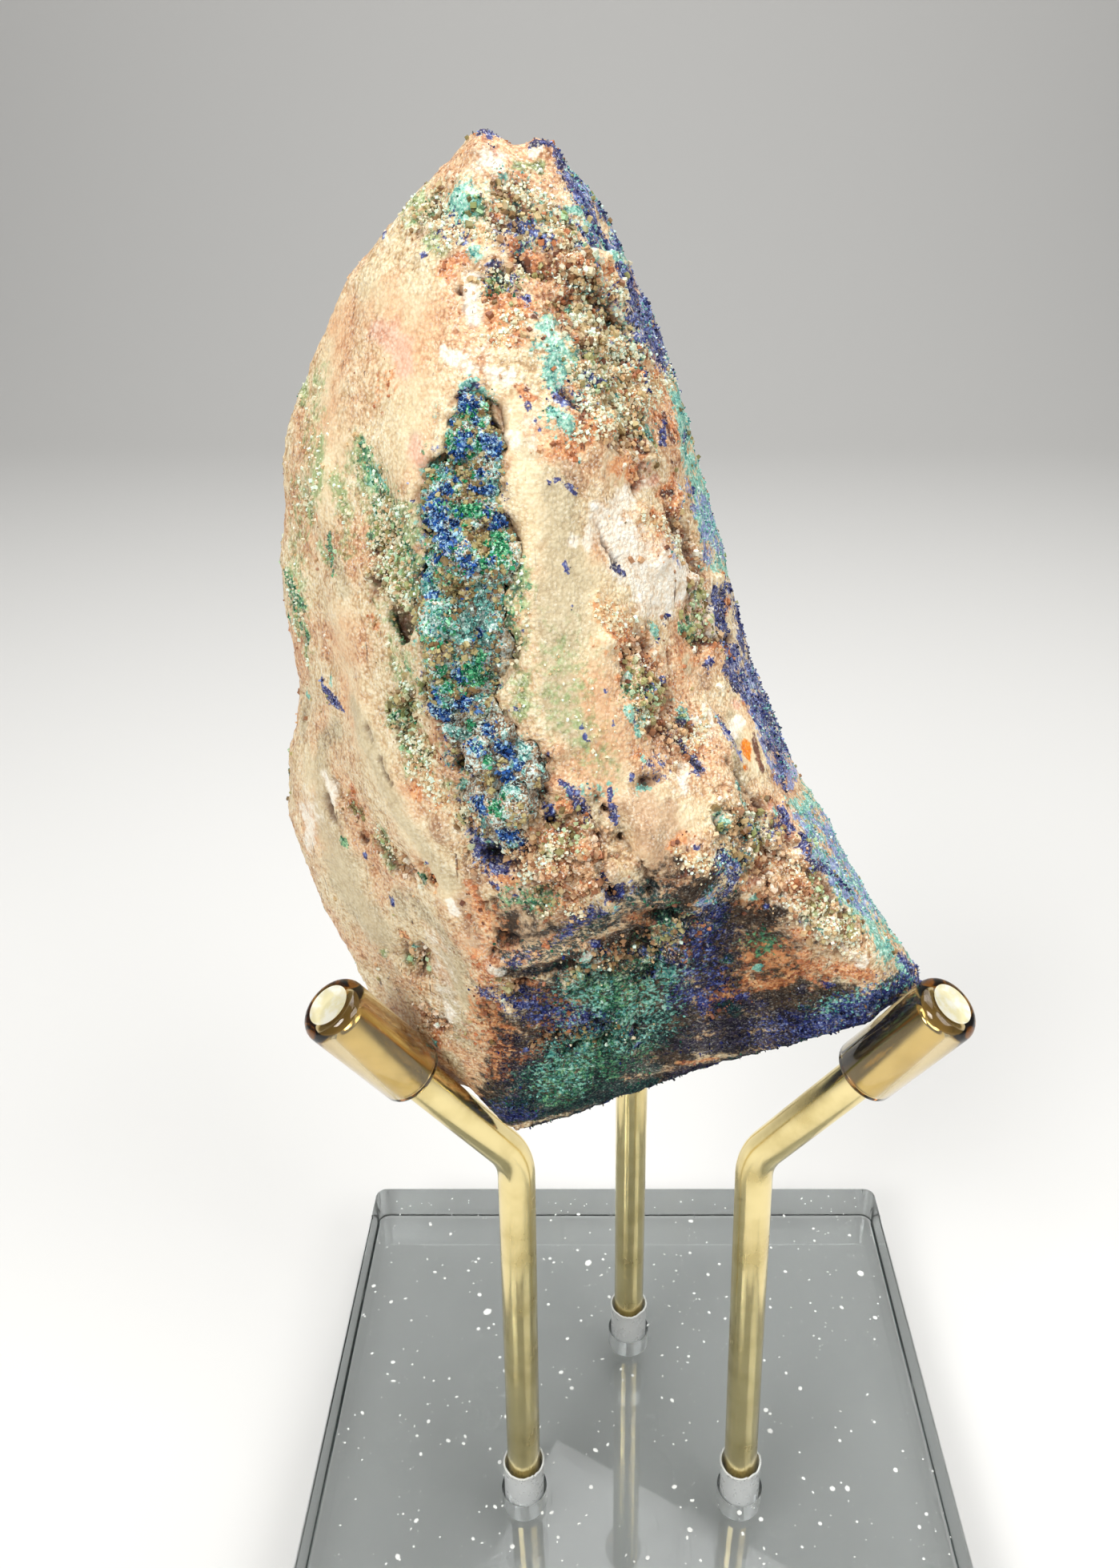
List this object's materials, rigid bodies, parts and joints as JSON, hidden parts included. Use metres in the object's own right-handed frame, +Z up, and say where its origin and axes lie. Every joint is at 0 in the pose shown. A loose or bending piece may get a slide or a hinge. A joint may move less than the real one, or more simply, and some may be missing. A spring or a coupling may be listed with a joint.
{
  "type": "malachite and azurite mineral specimen on a three-arm stand",
  "caption": "Upright piece of vein rock with a pocket of blue and green copper carbonate crystals, resting on bent brass arms over a square clear acrylic base.",
  "frame": {"origin": "middle of the underside of the square acrylic base", "axes": "+Z up through the specimen's tip, +X to the right and -Y towards the viewer of the crystal pocket"},
  "size_m": [0.0888, 0.0888, 0.1785],
  "materials": {
    "acrylic": "clear polished acrylic with fine scratches and dust",
    "brass": "polished, slightly dulled brass rod",
    "cap_vinyl": "thick clear vinyl, the closed end paler",
    "sleeve_plastic": "thin whitish translucent tube with a ragged top edge",
    "vein_rock": "rough cream to peach vein stone, iron-stained, dusted green and coated blue and teal on its edges and underside",
    "copper_crystals": "small glassy deep blue azurite and bright green malachite crystals"
  },
  "bodies": {
    "root": {"base": "acrylic", "rod_left": "brass", "rod_right": "brass", "rod_back": "brass", "sleeve_left": "sleeve_plastic", "sleeve_right": "sleeve_plastic", "sleeve_back": "sleeve_plastic", "cap_left": "cap_vinyl", "cap_right": "cap_vinyl", "cap_back": "cap_vinyl", "rock": "vein_rock", "pocket_crust": "copper_crystals"}
  },
  "joints": []
}
